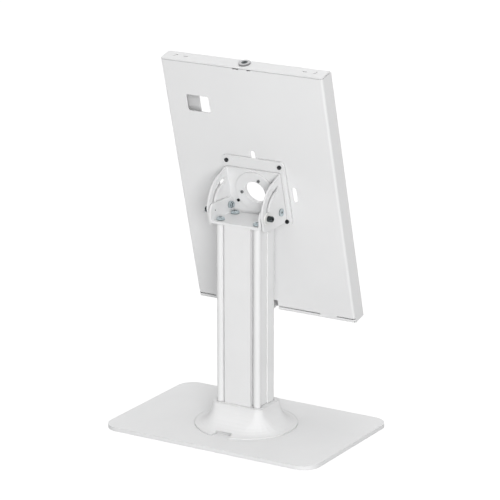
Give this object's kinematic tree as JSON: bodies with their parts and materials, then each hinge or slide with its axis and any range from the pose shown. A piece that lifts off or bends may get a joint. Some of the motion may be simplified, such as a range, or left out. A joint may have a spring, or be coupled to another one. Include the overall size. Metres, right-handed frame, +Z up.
{
  "type": "tablet security kiosk stand",
  "caption": "White countertop stand that locks a tablet in a steel enclosure, with a post, a cable route and a head that tilts and swivels.",
  "frame": {"origin": "middle of the base's underside, on the surface it stands on", "axes": "+Z up, +Y towards the back of the stand, -Y towards the person who looks at the screen, +X to that person's right; X = 0 is the mirror plane of the stand"},
  "size_m": [0.3, 0.2, 0.4672],
  "materials": {
    "powder_white": "fine white powder coat",
    "white_plastic": "moulded, fine satin",
    "zinc_steel": "bright zinc with a cool tint",
    "black_steel": "black oxide",
    "chrome_lock": "polished",
    "rubber_black": "matt",
    "foam_black": "closed-cell foam"
  },
  "bodies": {
    "stand": {"base_pads": "rubber_black", "base_plate": "powder_white", "post_base_screws": "zinc_steel", "post": "powder_white", "cable_cover": "white_plastic", "base_cover": "white_plastic", "lower_bracket": "powder_white", "bracket_screws": "zinc_steel", "pivot_bolts": "zinc_steel", "pivot_nuts": "zinc_steel", "pivot_washers": "white_plastic", "slot_bolts": "black_steel", "slot_washers": "white_plastic"},
    "tilt_head": {"tilt_bracket": "powder_white", "stop_pins": "black_steel"},
    "enclosure": {"swivel_washer": "white_plastic", "swivel_ring": "powder_white", "ring_screws": "black_steel", "vesa_plate": "powder_white", "vesa_screws": "black_steel", "vesa_inserts": "zinc_steel", "back_shell": "powder_white", "lock_keeper": "zinc_steel", "foam_pads": "foam_black"},
    "cover": {"front_cover": "powder_white", "lock_barrel": "chrome_lock", "lock_washer": "zinc_steel", "lock_nut": "zinc_steel"},
    "lock": {"lock_plug": "chrome_lock", "lock_cam": "zinc_steel", "cam_screw": "zinc_steel"}
  },
  "joints": [
    {"name": "tilt", "type": "hinge", "parent": "stand", "child": "tilt_head", "pos_m": [0, -0.0165, 0.2795], "axis": [-1, 0, 0], "range_deg": [-5, 75]},
    {"name": "swivel", "type": "hinge", "parent": "tilt_head", "child": "enclosure", "pos_m": [0, -0.02514, 0.29941], "axis": [0, 0.9659, -0.2588], "range_deg": [0, 90]},
    {"name": "cover_open", "type": "hinge", "parent": "enclosure", "child": "cover", "pos_m": [0, -0.09382, 0.14161], "axis": [1, 0, 0], "range_deg": [0, 30]},
    {"name": "lock_turn", "type": "hinge", "parent": "cover", "child": "lock", "pos_m": [0, 0.00333, 0.46364], "axis": [0, -0.2588, -0.9659], "range_deg": [0, 90]}
  ]
}
